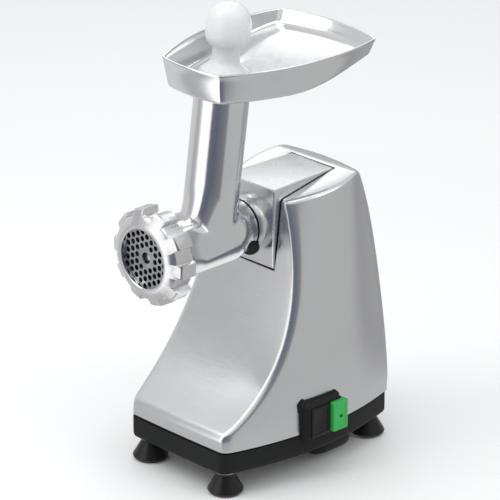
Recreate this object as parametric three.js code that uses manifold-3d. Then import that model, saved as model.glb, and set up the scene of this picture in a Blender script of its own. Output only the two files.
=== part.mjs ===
// Electric meat grinder, size 8 (62 mm cutting plate). Millimetres, +Z up, the grinding head points to -Y.
import * as THREE from 'three';
import { RoundedBoxGeometry } from 'three/addons/geometries/RoundedBoxGeometry.js';
import { mergeVertices } from 'three/addons/utils/BufferGeometryUtils.js';
import Module from 'manifold-3d';

const wasm = await Module();
wasm.setup();
const { Manifold, Mesh } = wasm;

// ---- driving dimensions -------------------------------------------------------------------------------------
const ORIGIN_X = 6.915, ORIGIN_Y = -122.4;      // the machine's own centre plane and foot row, seen from the row origin
const GAP = 0.3;                              // assembly clearance between neighbouring pieces

const FOOT_X = 51.1, FOOT_FRONT_Y = -198.3, FOOT_REAR_Y = -12.6;
const FOOT_R = 16.9, FOOT_NECK_R = 8.8, FOOT_H = 20, SCREW_R = 2.8, BOSS_R = 7;

const BASE_Z0 = 22.6, BASE_Z1 = 45.4, BASE_FRONT = -213.2, BASE_REAR = 5.5, BASE_WALL = 3;
const SHELL_Z0 = 45.8, SHELL_WALL = 3, SHELL_EDGE = 4;
const SKIRT_Y = -212, SWEEP_TOP_Y = -104, SWEEP = 107, SWEEP_Z = 62, SWEEP_LEN = 66;
const BACK_Y = 8, BACK_LEAN = 24, BACK_Z = 264, SHELL_CORNER = 9, SHELL_REAR_CORNER = 14, BASE_REAR_CORNER = 13;
const HALF_W = 82.5, WIDTH_TAPER = 0.000533, SIDE_BOW = 0.0016, SIDE_BOW_TOP = 0.0054;
const ROOF_Z = 270.5, ROOF_FRONT_Z = 259.5, ROOF_SLOPE = 0.148, ROOF_FRONT_Y = -107;

const AXIS_Z = 231.5;                         // auger and output shaft axis, along Y
const BLOCK_FRONT = -118.4, BLOCK_REAR = -36.75, BLOCK_W0 = 32.3, BLOCK_W1 = 27.65, BLOCK_Z0 = 192.2;
const SPIGOT_R = 20.8, SPIGOT_END = -88, NECK_R = 24, NECK_END = -131.2, COLLAR_Y = -128.9;
const BARREL_R = 29.3, BARREL_BORE = 27.2, MOUTH_R = 36.5, MOUTH_Y = -247.7;
const PLATE_R = 31, PLATE_T = 7.6, HOLE_PITCH = 6.9, HOLE_R = 2.55, HOLE_TURN = 26, PLATE_PIN_R = 5.4;
const HOLE_FIELD_R = 28.2;                     // the grid of holes ends here
const FLIGHT_Y0 = -228.8, FLIGHT_Y1 = -156, FLIGHT_PITCH = 26, AUGER_R = 26.6;
const NUT_FRONT = -252.8, NUT_REAR = -227.5, NUT_OPEN_R = 28, NUT_R = 45.5, NUT_ROOT_R = 40.6, LOBES = 10;
const NUT_TURN = 32.6;

const TUBE_LEAN = 7.93, TUBE_Y = -171.7, TUBE_R = 25.45, TUBE_BORE = 21.6, TUBE_LEN = 140.2;
const TRAY_Z = 401.3, TRAY_DEPTH = 27.5, TRAY_RISE = 15;   // rim height, depth over the tube, climb of the floor
const PUSHER_R = 18.9, PUSHER_TOP = 221, PUSHER_END = 68;

const SWITCH = { y0: -134.5, y1: -80, z0: 36, z1: 81 };
const BUTTON = { stop: [-126.5, -103.2], start: [-102, -83.5], z0: 43.5, z1: 72.5, seat: 85.5, margin: 0.4 };
const STOP_X = 92.4, START_X = 96.2, POCKET_X = 82.5;

const MOTOR_Z = 144, IDLER_Z = 186.6;
const OUT_TEETH = 33, IDLER_PINION_TEETH = 12, MODULE_OUT = 2;
const IDLER_TEETH = 46, MOTOR_PINION_TEETH = 11, MODULE_IN = (IDLER_Z - MOTOR_Z) * 2 / 57;

// ---- materials ----------------------------------------------------------------------------------------------
const paint = (color, metalness, roughness) => new THREE.MeshStandardMaterial({ color, metalness, roughness });
const ALU = paint(0xc9cbcd, 1, 0.22), CAST = paint(0x9fa2a5, 1, 0.45), STEEL = paint(0xb9bcc0, 1, 0.25);
const BLACK = paint(0x17181a, 0, 0.55), RUBBER = paint(0x101010, 0, 0.8), GREEN = paint(0x1fae4b, 0, 0.3);
const WHITE = paint(0xeef0f2, 0, 0.35), BRONZE = paint(0xb08a4a, 1, 0.35), COPPER = paint(0xb87333, 1, 0.4);
const NYLON = paint(0xe5e1d4, 0, 0.5);

// ---- helpers ------------------------------------------------------------------------------------------------
const rad = Math.PI / 180;
const group = new THREE.Group();
group.name = 'meat_grinder';

/** Triangulated geometry from points and faces, turned to face out. */
function geometry(points, faces) {
  const g = new THREE.BufferGeometry();
  g.setAttribute('position', new THREE.Float32BufferAttribute(points.flat(), 3));
  let volume = 0;
  const a = new THREE.Vector3(), b = new THREE.Vector3(), c = new THREE.Vector3();
  for (const [i, j, k] of faces) {
    a.fromArray(points[i]); b.fromArray(points[j]); c.fromArray(points[k]);
    volume += a.dot(b.cross(c));
  }
  g.setIndex(faces.flatMap(([i, j, k]) => volume > 0 ? [i, j, k] : [i, k, j]));
  return g;
}

/** Skin over rings of equally many points. A loop joins the last ring to the first, otherwise both ends are capped. */
function skin(rings, loop = false) {
  const n = rings[0].length, m = rings.length, points = rings.flat(), faces = [];
  for (let i = 0; i < (loop ? m : m - 1); i++) {
    for (let j = 0; j < n; j++) {
      const k = (j + 1) % n, p = i * n, q = ((i + 1) % m) * n;
      faces.push([p + j, p + k, q + k], [p + j, q + k, q + j]);
    }
  }
  if (!loop) {
    for (const [r, turn] of [[0, -1], [m - 1, 1]]) {
      const o = r * n;
      for (let j = 0; j < n / 2 - 1; j++) {
        // caps run across from side to side, so a sloping roof keeps its slope
        const [p, q, u, v] = [o + j, o + j + 1, o + n - 2 - j, o + n - 1 - j];
        faces.push(...(turn > 0 ? [[p, q, u], [p, u, v]] : [[p, u, q], [p, v, u]]));
      }
    }
  }
  return geometry(points, faces);
}

/** Closed [radius, height] profile turned about Y. */
function turnY(profile, segments = 32) {
  const rings = [];
  for (const [r, y] of profile) {
    rings.push(Array.from({ length: segments }, (_, i) => {
      const t = i / segments * 2 * Math.PI;
      return [Math.max(r, 0) * Math.cos(t), y, Math.max(r, 0) * Math.sin(t)];
    }));
  }
  const solidCore = profile[0][0] === 0;
  return solidCore ? turned(profile, segments) : skin(rings, true);
}

/** Profile that starts and ends on the axis. */
function turned(profile, segments) {
  const points = [[0, profile[0][1], 0], [0, profile.at(-1)[1], 0]], faces = [], inner = profile.slice(1, -1);
  inner.forEach(([r, y]) => {
    for (let i = 0; i < segments; i++) {
      const t = i / segments * 2 * Math.PI;
      points.push([r * Math.cos(t), y, r * Math.sin(t)]);
    }
  });
  const last = 2 + (inner.length - 1) * segments;
  for (let i = 0; i < segments; i++) {
    const k = (i + 1) % segments;
    faces.push([0, 2 + k, 2 + i], [1, last + i, last + k]);
    for (let s = 0; s < inner.length - 1; s++) {
      const p = 2 + s * segments, q = p + segments;
      faces.push([p + i, p + k, q + k], [p + i, q + k, q + i]);
    }
  }
  return geometry(points, faces);
}

const turnZ = (profile, segments) => turnY(profile, segments).rotateX(Math.PI / 2);
const slab = (x0, x1, y0, y1, z0, z1) =>
  new THREE.BoxGeometry(x1 - x0, y1 - y0, z1 - z0).translate((x0 + x1) / 2, (y0 + y1) / 2, (z0 + z1) / 2);
const rounded = (x0, x1, y0, y1, z0, z1, r) => new RoundedBoxGeometry(x1 - x0, y1 - y0, z1 - z0, 2, r)
  .translate((x0 + x1) / 2, (y0 + y1) / 2, (z0 + z1) / 2);
const rod = (r, y0, y1, segments = 24) => turnY([[0, y0], [r, y0], [r, y1], [0, y1]], segments);
const post = (r, z0, z1, segments = 24) => new THREE.CylinderGeometry(r, r, z1 - z0, segments)
  .rotateX(Math.PI / 2).translate(0, 0, (z0 + z1) / 2);

/** three.js geometry to a manifold, and back. */
function body(g) {
  if (!(g instanceof THREE.BufferGeometry)) return g;
  const plain = g.clone();
  plain.deleteAttribute('normal');
  plain.deleteAttribute('uv');
  const welded = mergeVertices(plain, 1e-4), p = welded.attributes.position.array, keep = [];
  const index = welded.index.array;
  for (let i = 0; i < index.length; i += 3) {
    const [a, b, c] = [index[i], index[i + 1], index[i + 2]];
    if (a !== b && b !== c && c !== a) keep.push(a, b, c);
  }
  return new Manifold(new Mesh({ numProp: 3, vertProperties: new Float32Array(p), triVerts: new Uint32Array(keep) }));
}
const union = (...parts) => Manifold.union(parts.map(body));
const cut = (from, ...tools) => Manifold.difference([body(from), ...tools.map(body)]);

/** Adds a named piece to the group, in the row frame. */
function piece(name, shape, material) {
  const mesh = body(shape).getMesh();
  const g = new THREE.BufferGeometry();
  const xyz = new Float32Array(mesh.numVert * 3);
  for (let i = 0; i < mesh.numVert; i++) {
    for (let k = 0; k < 3; k++) xyz[3 * i + k] = mesh.vertProperties[mesh.numProp * i + k];
  }
  g.setAttribute('position', new THREE.BufferAttribute(xyz, 3));
  g.setIndex(Array.from(mesh.triVerts));
  g.translate(-ORIGIN_X, -ORIGIN_Y, 0);
  g.computeVertexNormals();
  const m = new THREE.Mesh(g, material);
  m.name = name;
  group.add(m);
}

// ---- shell and base: sections of the casing at any height ---------------------------------------------------
const sideBow = (z) => SIDE_BOW + SIDE_BOW_TOP * Math.pow(Math.max(0, (z - 60) / 210), 1.3);
const bowCentre = (z) => -103 + 51 * Math.max(0, z - 45) / 225;
const halfWidth = (y, z) => HALF_W - WIDTH_TAPER * (z - 45) ** 2 - sideBow(z) * (y - bowCentre(z)) ** 2;
const frontY = (z) => Math.max(SKIRT_Y, SWEEP_TOP_Y - SWEEP * Math.exp(-(z - SWEEP_Z) / SWEEP_LEN));
const backY = (z) => BACK_Y - BACK_LEAN * Math.max(0, (z - 46) / (BACK_Z - 46)) ** 3;
const roofZ = (y) => Math.min(ROOF_Z, ROOF_FRONT_Z + ROOF_SLOPE * (y - ROOF_FRONT_Y));

/** One ring of the casing: t runs from the bottom edge (0) to the roof (1), inset moves every wall inwards. */
function shellRing(t, inset, drop) {
  const level = (y) => SHELL_Z0 + t * (roofZ(y) - drop - SHELL_Z0);
  const y0 = frontY(level(ROOF_FRONT_Y)) + inset, y1 = backY(level(0)) - inset;
  return planRing(y0, y1, (y) => halfWidth(y, level(y)) - inset, level,
    Math.max(2, SHELL_CORNER - inset), Math.max(3, SHELL_REAR_CORNER - inset));
}

/** Closed plan outline between a front and a rear y, with bowed sides, rounded corners and slightly crowned ends. */
function planRing(y0, y1, half, level, rFront, rRear, crown = 4) {
  const right = [];
  const w0 = half(y0 + rFront) - rFront, w1 = half(y1 - rRear) - rRear;
  for (const s of [0.02, 0.5]) right.push([w0 * s, y0 - 0.8 * (1 - s * s)]);
  for (let i = 0; i <= 4; i++) {
    const a = i / 4 * Math.PI / 2, y = y0 + rFront * (1 - Math.cos(a));
    right.push([half(Math.max(y, y0)) - rFront * (1 - Math.sin(a)) - (1 - i / 4) * (half(y) - half(y0 + rFront)), y]);
  }
  for (let i = 1; i < 9; i++) {
    const y = y0 + rFront + (y1 - rRear - y0 - rFront) * i / 9;
    right.push([half(y), y]);
  }
  for (let i = 0; i <= 4; i++) {
    const a = (1 - i / 4) * Math.PI / 2;
    right.push([w1 + rRear * Math.sin(a), y1 - crown - (rRear - crown) * (1 - Math.cos(a))]);
  }
  for (const s of [0.66, 0.33, 0.02]) right.push([w1 * s, y1 - crown * s * s]);
  const ring = right.map(([x, y]) => [x, y, level(y)]);
  return [...ring, ...right.slice().reverse().map(([x, y]) => [-x, y, level(y)])];
}

/** Rings of the whole casing, its roof edge rounded. */
function shellRings(inset, levels) {
  const rings = levels.map((t) => shellRing(t, inset, inset));
  for (const a of [45, 90]) {
    const r = Math.max(1, SHELL_EDGE - inset);
    rings.push(shellRing(1, inset + r * (1 - Math.cos(a * rad)), inset + r * (1 - Math.sin(a * rad))));
  }
  return rings;
}
const LEVELS = [0, 0.037, 0.075, 0.11, 0.16, 0.22, 0.3, 0.4, 0.52, 0.66, 0.83];
const shellTop = (inset) => 1 - Math.max(1, SHELL_EDGE - inset) / (ROOF_Z - SHELL_Z0);
const outer = skin(shellRings(0, [...LEVELS, shellTop(0)]));
const innerRings = shellRings(SHELL_WALL, [0, 0.075, 0.16, 0.3, 0.5, 0.75, shellTop(SHELL_WALL)]);
const inner = skin([innerRings[0].map(([x, y]) => [x, y, SHELL_Z0 - 5]), ...innerRings]);

/** Four corners of the tapered coupling block at a height, from its front y to its rear, grown by a margin. */
function blockRing(z, front, grow) {
  const taper = (BLOCK_W0 - BLOCK_W1) / (BLOCK_REAR - BLOCK_FRONT), rear = BLOCK_REAR + grow;
  const w0 = BLOCK_W0 + taper * (BLOCK_FRONT - front) + grow, w1 = BLOCK_W1 + grow;
  return [[-w0, front, z], [w0, front, z], [w1, rear, z], [-w1, rear, z]];
}
const BLOCK_EDGE = 2.2, BLOCK_GAP = 0.5;
const block = skin([[BLOCK_Z0, 0], [ROOF_Z - BLOCK_EDGE, 0], [ROOF_Z - BLOCK_EDGE * 0.3, -BLOCK_EDGE * 0.3],
  [ROOF_Z, -BLOCK_EDGE]].map(([z, grow]) => blockRing(z, BLOCK_FRONT - grow, grow)));
const blockOpening = skin([BLOCK_Z0 - BLOCK_GAP, ROOF_Z + 20].map((z) => blockRing(z, BLOCK_FRONT - 40, BLOCK_GAP)));
piece('casing', cut(outer, inner, blockOpening, slab(60, 100, -124, -90, 50, 66)), ALU);

const baseHalf = (y) => HALF_W - 1 - SIDE_BOW * (y + 103) ** 2;
const baseRing = (inset, z) => planRing(BASE_FRONT + inset, BASE_REAR - inset, (y) => baseHalf(y) - inset, () => z,
  Math.max(3, SHELL_CORNER - inset), Math.max(4, BASE_REAR_CORNER - inset));
const baseOuter = skin([baseRing(3, BASE_Z0), baseRing(0.8, BASE_Z0 + 1.2), baseRing(0, BASE_Z0 + 4), baseRing(0, BASE_Z1)]);
const baseInner = skin([baseRing(BASE_WALL, BASE_Z0 + BASE_WALL), baseRing(BASE_WALL, BASE_Z1 + 5)]);
const feet = [-1, 1].flatMap((sx) => [FOOT_FRONT_Y, FOOT_REAR_Y].map((y) => [sx * FOOT_X, y]));
const footName = ['front_left', 'rear_left', 'front_right', 'rear_right'];
const bosses = feet.map(([x, y]) => post(BOSS_R, BASE_Z0 + 1, 38, 12).translate(x, y, 0));
const bossHoles = feet.map(([x, y]) => post(SCREW_R + GAP, 0, 34, 10).translate(x, y, 0));
piece('base', cut(union(cut(baseOuter, baseInner), ...bosses), ...bossHoles), BLACK);

// ---- feet ---------------------------------------------------------------------------------------------------
feet.forEach(([x, y], i) => {
  const hole = SCREW_R + GAP;
  const foot = turnZ([[hole, 11.4], [6.3, 11.4], [6.3, 6.5], [9.5, 3.2], [12.2, 0], [FOOT_R - 1.5, 0], [FOOT_R, 1.8],
    [FOOT_R, 4], [9.6, 16.4], [FOOT_NECK_R, FOOT_H], [hole, FOOT_H]], 18);
  piece(`foot_${footName[i]}`, foot.translate(x, y, 0), RUBBER);
  piece(`foot_washer_${footName[i]}`, turnZ([[hole, FOOT_H + 0.2], [9.8, FOOT_H + 0.2], [9.8, FOOT_H + 2.3],
    [hole, FOOT_H + 2.3]], 16).translate(x, y, 0), STEEL);
  piece(`foot_screw_${footName[i]}`, turnZ([[0, 7.2], [4.4, 7.2], [5.4, 8.4], [5.4, 11.1], [SCREW_R, 11.1], [SCREW_R, 33],
    [0, 33]], 10).translate(x, y, 0), STEEL);
});

// ---- terminal cover under the base, switch ------------------------------------------------------------------
piece('terminal_cover', rounded(21, 73, -102, -48, 6, BASE_Z0 - GAP, 8), BLACK);

const shellGrown = skin(LEVELS.slice(0, 6).map((t) => shellRing(t, -GAP, 0)));
const baseGrown = skin([baseRing(-GAP, BASE_Z0 - 5), baseRing(-GAP, SHELL_Z0 + 0.4)]);
/** Switch bezel at a depth: a rectangle with cut corners, drawn in by an inset. */
function bezelRing(x, inset, corner) {
  const y0 = SWITCH.y0 + inset, y1 = SWITCH.y1 - inset, z0 = SWITCH.z0 + inset, z1 = SWITCH.z1 - inset;
  return [[y0 + corner, z0], [y1 - corner, z0], [y1, z0 + corner], [y1, z1 - corner], [y1 - corner, z1],
    [y0 + corner, z1], [y0, z1 - corner], [y0, z0 + corner]].map(([y, z]) => [x, y, z]);
}
const bezel = skin([[70, 0, 5], [80, 0, 5], [80.4, 2.6, 4.2], [83.6, 3, 4], [90.2, 6, 3], [91, 6.8, 2.8]]
  .map(([x, inset, corner]) => bezelRing(x, inset, corner)));
const plug = slab(66, 84, -123.5, -90.5, 50.5, 65.5);
const button = ([y0, y1], x, r) => rounded(BUTTON.seat, x, y0, y1, BUTTON.z0, BUTTON.z1, r);
const pocket = ([y0, y1]) => slab(POCKET_X, 120, y0 - BUTTON.margin, y1 + BUTTON.margin,
  BUTTON.z0 - BUTTON.margin, BUTTON.z1 + BUTTON.margin);
piece('switch_housing', cut(union(cut(bezel, shellGrown, baseGrown), plug), pocket(BUTTON.stop), pocket(BUTTON.start)),
  BLACK);
piece('stop_button', button(BUTTON.stop, STOP_X, 1.2), BLACK);
const startDot = rod(1.9, 0, 9, 12).rotateZ(-Math.PI / 2).translate(90, -92.4, 57.5);
piece('start_button', cut(button(BUTTON.start, START_X, 1.8), startDot), GREEN);

// ---- coupling block, output shaft, bearing ------------------------------------------------------------------
const along = (g) => g.translate(0, 0, AXIS_Z);
const collar = turnY([[0, BLOCK_FRONT + 8], [27.5, BLOCK_FRONT + 8], [27.5, -124.5],
  [24.8, COLLAR_Y], [0, COLLAR_Y]], 32);
piece('coupling_block', cut(union(block, along(collar)), along(rod(SPIGOT_R + 0.4, -140, SPIGOT_END + 1.5, 28)),
  along(rod(15, -100, -58, 20)), along(rod(14.3, -70, -20, 20))), CAST);
const hexHole = (flat, y0, y1) => new THREE.CylinderGeometry(flat / Math.sqrt(3), flat / Math.sqrt(3), y1 - y0, 6)
  .translate(0, (y0 + y1) / 2, 0);
const coupling = turnY([[0, -85], [13, -85], [13, -62], [8, -59], [8, -21.5], [0, -21.5]], 20);
piece('output_shaft', along(bodyGeometry(cut(coupling, hexHole(12.4, -90, -67)))), STEEL);
piece('output_bearing', along(turnY([[8.2, -56], [14, -56], [14, -40], [8.2, -40]], 20)), BRONZE);

/** Manifold back to geometry, for pieces that are moved after a boolean. */
function bodyGeometry(m) {
  const mesh = m.getMesh(), g = new THREE.BufferGeometry();
  g.setAttribute('position', new THREE.BufferAttribute(new Float32Array(mesh.vertProperties), 3));
  g.setIndex(Array.from(mesh.triVerts));
  return g;
}

// ---- gear train ---------------------------------------------------------------------------------------------
/** Spur gear blank with tapered teeth, thinned for running clearance, from y0 to y1 about the Y axis. */
function gear(teeth, module, y0, y1, bore, turn = 0) {
  const r = teeth * module / 2, pitch = 2 * Math.PI / teeth, ring = [];
  for (let i = 0; i < teeth; i++) {
    const mid = i * pitch + turn;
    for (const [dr, w] of [[-1.15, -0.31], [0.8, -0.13], [0.8, 0.13], [-1.15, 0.31]]) {
      const a = mid + w * pitch, q = r + dr * module;
      ring.push([q * Math.cos(a), q * Math.sin(a)]);
    }
  }
  const hole = Array.from({ length: 12 }, (_, i) =>
    [bore * Math.cos(i * Math.PI / 6), bore * Math.sin(i * Math.PI / 6)]);
  const shape = new THREE.Shape(ring.map(([x, y]) => new THREE.Vector2(x, y)));
  if (bore) shape.holes.push(new THREE.Path(hole.map(([x, y]) => new THREE.Vector2(x, y))));
  return new THREE.ExtrudeGeometry(shape, { depth: y1 - y0, bevelEnabled: false })
    .rotateX(Math.PI / 2).translate(0, y1, 0);
}
const halfTooth = (n) => Math.PI / n;
const UP = Math.PI / 2;                      // gears mesh one above the other
const motorAxis = (g) => g.translate(0, 0, MOTOR_Z);
piece('output_gear', gear(OUT_TEETH, MODULE_OUT, -34.5, -25, 8.4, -UP).translate(0, 0, AXIS_Z), STEEL);
const pinionBig = gear(IDLER_PINION_TEETH, MODULE_OUT, -34.5, -22.6, 4.3, UP + halfTooth(IDLER_PINION_TEETH));
const idlerWheel = gear(IDLER_TEETH, MODULE_IN, -23, -13.5, 4.3, -UP);
piece('idler_gear', union(pinionBig, idlerWheel).translate([0, 0, IDLER_Z]), NYLON);
piece('idler_axle', rod(4, -41.5, -11, 12).translate(0, 0, IDLER_Z), STEEL);
piece('motor_pinion', gear(MOTOR_PINION_TEETH, MODULE_IN, -23.5, -13, 4.4, UP + halfTooth(MOTOR_PINION_TEETH))
  .translate(0, 0, MOTOR_Z), STEEL);
piece('gear_plate', cut(slab(-42, 42, -41, -37.5, 104, 191.5), motorAxis(rod(12, -60, -20, 16)),
  rod(4.3, -60, -20, 12).translate(0, 0, IDLER_Z)), STEEL);

// ---- motor --------------------------------------------------------------------------------------------------
piece('motor_shaft', motorAxis(turnY([[0, -122], [4, -122], [4, -12.4], [0, -12.4]], 12)), STEEL);
piece('rotor', motorAxis(turnY([[4.3, -108], [14, -108], [14, -104], [23.2, -104], [23.2, -66], [14, -66], [14, -62],
  [4.3, -62]], 20)), COPPER);
const stator = rounded(-36, 36, -107, -62, MOTOR_Z - 36, MOTOR_Z + 36, 5);
piece('stator', cut(stator, motorAxis(rod(24, -120, -50, 20)),
  slab(-37, 37, -108, -103, MOTOR_Z - 25, MOTOR_Z + 25), slab(-37, 37, -66.5, -60, MOTOR_Z - 25, MOTOR_Z + 25)), STEEL);
piece('front_end_bell', motorAxis(turnY([[4.2, -120.5], [9, -120.5], [9, -114], [27, -112.5], [30, -108.5], [30, -107.4],
  [20, -107.4], [20, -110], [4.2, -110]], 16)), CAST);
piece('rear_end_bell', motorAxis(turnY([[4.2, -59], [20, -59], [20, -61.6], [30, -61.6], [30, -60], [27, -56.5], [9, -55],
  [9, -53], [4.2, -53]], 16)), CAST);
const blades = Array.from({ length: 6 }, (_, i) => slab(9, 29, -49.5, -43.5, -1, 1).rotateY(i * 60 * rad));
piece('cooling_fan', union(turnY([[4.3, -52], [10, -52], [10, -50.5], [29, -50.5], [29, -49], [10, -49], [10, -43.5],
  [4.3, -43.5]], 16), ...blades).translate([0, 0, MOTOR_Z]), BLACK);
const legs = [-1, 1].flatMap((s) => [slab(s * 35 - 1.5, s * 35 + 1.5, -104, -65, 27, 107.4),
  slab(Math.min(s * 33.5, s * 50), Math.max(s * 33.5, s * 50), -104, -65, 26, 29)]);
piece('motor_bracket', union(slab(-36.5, 36.5, -104, -65, 104.4, 107.4), ...legs), STEEL);
piece('capacitor', rod(12, -28, 28, 16).rotateZ(Math.PI / 2).translate(0, -165, 41), CAST);

// ---- grinding head ------------------------------------------------------------------------------------------
const lean = (g) => g.rotateX(-TUBE_LEAN * rad).translate(0, TUBE_Y, AXIS_Z);   // tube frame, +Z up the tube
const barrel = turnY([[0, MOUTH_Y], [MOUTH_R, MOUTH_Y], [MOUTH_R, -226], [34.6, -223.4], [32.4, -217], [30.5, -209],
  [BARREL_R, -196], [BARREL_R, -156], [27.6, -146], [24.9, -137.5], [NECK_R, NECK_END],
  [SPIGOT_R, NECK_END], [SPIGOT_R, SPIGOT_END], [0, SPIGOT_END]], 32);
const web = new THREE.Shape([[0, 10], [24, 20], [36, 24], [28, 40], [20, 64], [8, 60]].map((p) => new THREE.Vector2(...p)));
const gusset = new THREE.ExtrudeGeometry(web, { depth: 12, bevelEnabled: false }).translate(0, 0, -6)
  .rotateX(Math.PI / 2).rotateZ(Math.PI / 2).translate(0, TUBE_Y, AXIS_Z);
const tubeOut = lean(turnZ([[0, 0], [BARREL_R - 0.5, 7], [TUBE_R + 3, 24], [TUBE_R + 0.8, 36], [TUBE_R, 48], [TUBE_R, TUBE_LEN - 1],
  [TUBE_R - 1, TUBE_LEN], [0, TUBE_LEN]], 28));
const tubeIn = lean(post(TUBE_BORE, 12, TUBE_LEN + 10, 24));
const bore = turnY([[0, MOUTH_Y - 10], [PLATE_R + GAP, MOUTH_Y - 10], [PLATE_R + GAP, -239], [BARREL_BORE + 1, -239],
  [BARREL_BORE + 1, -228], [BARREL_BORE, -227], [BARREL_BORE, FLIGHT_Y1], [15, -142], [10.3, -140], [10.3, -80],
  [0, -80]], 28);
piece('head_body', cut(union(barrel.translate(0, 0, AXIS_Z), tubeOut, gusset), bore.translate(0, 0, AXIS_Z), tubeIn), ALU);
piece('rear_bush', along(turnY([[7.6, -120], [10, -120], [10, -92], [7.6, -92]], 20)), BRONZE);

// cutting plate: holes on a triangular grid about the auger pin, the middle seven left out
const PLATE_Y = MOUTH_Y - 0.1;
const holes = [];
for (let i = -5; i <= 5; i++) {
  for (let j = -5; j <= 5; j++) {
    const a = HOLE_TURN * rad, u = HOLE_PITCH * (i + j / 2), v = HOLE_PITCH * j * Math.sqrt(3) / 2;
    const x = u * Math.cos(a) - v * Math.sin(a), z = u * Math.sin(a) + v * Math.cos(a), d = Math.hypot(x, z);
    if (d > HOLE_PITCH * 1.2 && d < HOLE_FIELD_R) holes.push(rod(HOLE_R, PLATE_Y - 5, PLATE_Y + 15, 6).translate(x, 0, z));
  }
}
const keyway = slab(-2.2, 2.2, PLATE_Y - 5, PLATE_Y + 15, -PLATE_R - 5, -PLATE_R + 3.6).rotateY(-38 * rad);
piece('cutting_plate', along(bodyGeometry(cut(rod(PLATE_R, PLATE_Y, PLATE_Y + PLATE_T, 32), rod(PLATE_PIN_R, -270, -200, 12),
  keyway, ...holes))), STEEL);
const arm = slab(4, 26, -239.4, -231.5, -3.6, 3.6);
const knife = union(rod(9.5, -239.4, -229.6, 16), ...[0, 90, 180, 270].map((a) => arm.clone().rotateY((a + 12) * rad)));
piece('cross_knife', along(bodyGeometry(cut(knife, slab(-4.4, 4.4, -250, -220, -4.4, 4.4)))), STEEL);

// auger: one helical flight on a tapering core, as a tube whose radius follows the flight
const flightRings = [];
for (let i = 0; i <= 24; i++) {
  const s = i / 24, y = FLIGHT_Y0 + (FLIGHT_Y1 - FLIGHT_Y0) * s, core = 12 - 2.5 * s;
  flightRings.push(Array.from({ length: 20 }, (_, k) => {
    const t = k / 20 * 2 * Math.PI, wave = Math.cos(t - 2 * Math.PI * y / FLIGHT_PITCH);
    const end = Math.min(1, s * 12, (1 - s) * 12);
    const r = core + (AUGER_R - core) * Math.pow(Math.max(0, (wave + 1) / 2), 4) * end;
    return [r * Math.cos(t), y, r * Math.sin(t)];
  }));
}
const shank = turnY([[0, -160], [12, -160], [9.5, -142.5], [7.4, -139], [7.4, -88], [6, -87], [0, -87]], 16);
const drive = hexHole(11.8, -90, -70.5), square = slab(-4.1, 4.1, -239.8, -226, -4.1, 4.1);
const pin = turnY([[0, -245.6], [3.1, -245.2], [3.3, -242.6], [4.9, -241.4], [4.9, -239.6], [0, -239.6]], 12);
piece('auger', along(bodyGeometry(union(skin(flightRings), shank, drive, square, pin))), STEEL);

// ring nut: ten square lobes round a conical front, threaded bore inside
const lobe = (t) => {
  const s = Math.abs(((t / rad - NUT_TURN) / (360 / LOBES) % 1 + 1.5) % 1 - 0.5) * 2;   // 0 on a lobe, 1 between two
  return 1 - Math.min(1, Math.max(0, (s - 0.42) / 0.16));
};
const nutPoints = LOBES * 6;
const nutRing = (r, root, y) => Array.from({ length: nutPoints }, (_, i) => {
  const t = i / nutPoints * 2 * Math.PI + (NUT_TURN - 13.5) * rad, q = root + (r - root) * lobe(t);
  return [q * Math.cos(t), y, q * Math.sin(t)];
});
const plainRing = (r, y) => nutRing(r, r, y);
piece('ring_nut', along(skin([plainRing(NUT_OPEN_R, NUT_FRONT), plainRing(32, NUT_FRONT),
  nutRing(42.6, 38.6, -248.2), nutRing(NUT_R, NUT_ROOT_R, -245.5), nutRing(NUT_R, NUT_ROOT_R, -230),
  nutRing(44.6, NUT_ROOT_R, -228.6), plainRing(NUT_ROOT_R, -228.5), plainRing(39.6, NUT_REAR), plainRing(36.8, NUT_REAR),
  plainRing(36.8, -248.1), plainRing(NUT_OPEN_R, -248.1)], true)), ALU);

// lock ring with its curved thumb tab, between the head's shoulder and the block's collar
const polar = (r, degrees) => new THREE.Vector2(r * Math.cos(degrees * rad), r * Math.sin(degrees * rad));
const tabShape = new THREE.Shape([[22.6, -26], [26.5, -27.5], [29.7, -33.5], [30.4, -45], [29.8, -61], [28.4, -72],
  [27.2, -78.5], [26, -75], [24.2, -62], [22.8, -48], [22.6, -36]].map(([r, a]) => polar(r, a)));
const LOCK_FRONT = NECK_END + GAP, LOCK_REAR = COLLAR_Y - GAP, LOCK_R = 23.9;
const tab = new THREE.ExtrudeGeometry(tabShape, { depth: LOCK_REAR - LOCK_FRONT, bevelEnabled: false })
  .rotateX(Math.PI / 2).translate(0, LOCK_REAR, 0);
const lockBand = turnY([[SPIGOT_R + GAP, LOCK_FRONT], [LOCK_R, LOCK_FRONT], [LOCK_R, LOCK_REAR],
  [SPIGOT_R + GAP, LOCK_REAR]], 28);
piece('lock_ring', along(bodyGeometry(union(lockBand, tab))), BLACK);

// ---- hopper tray and pusher ---------------------------------------------------------------------------------
const TRAY = { front: -191.5, frontBow: 5.5, frontHalf: 38.5, rear: -17, rearBow: 10, rearHalf: 61.5, sideBow: 18.5 };
const TRAY_SIDE_STEPS = 9, TRAY_CORNER = 3;
const tubeCentre = (z) => TUBE_Y + (z - AXIS_Z) * Math.tan(TUBE_LEAN * rad);

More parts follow.
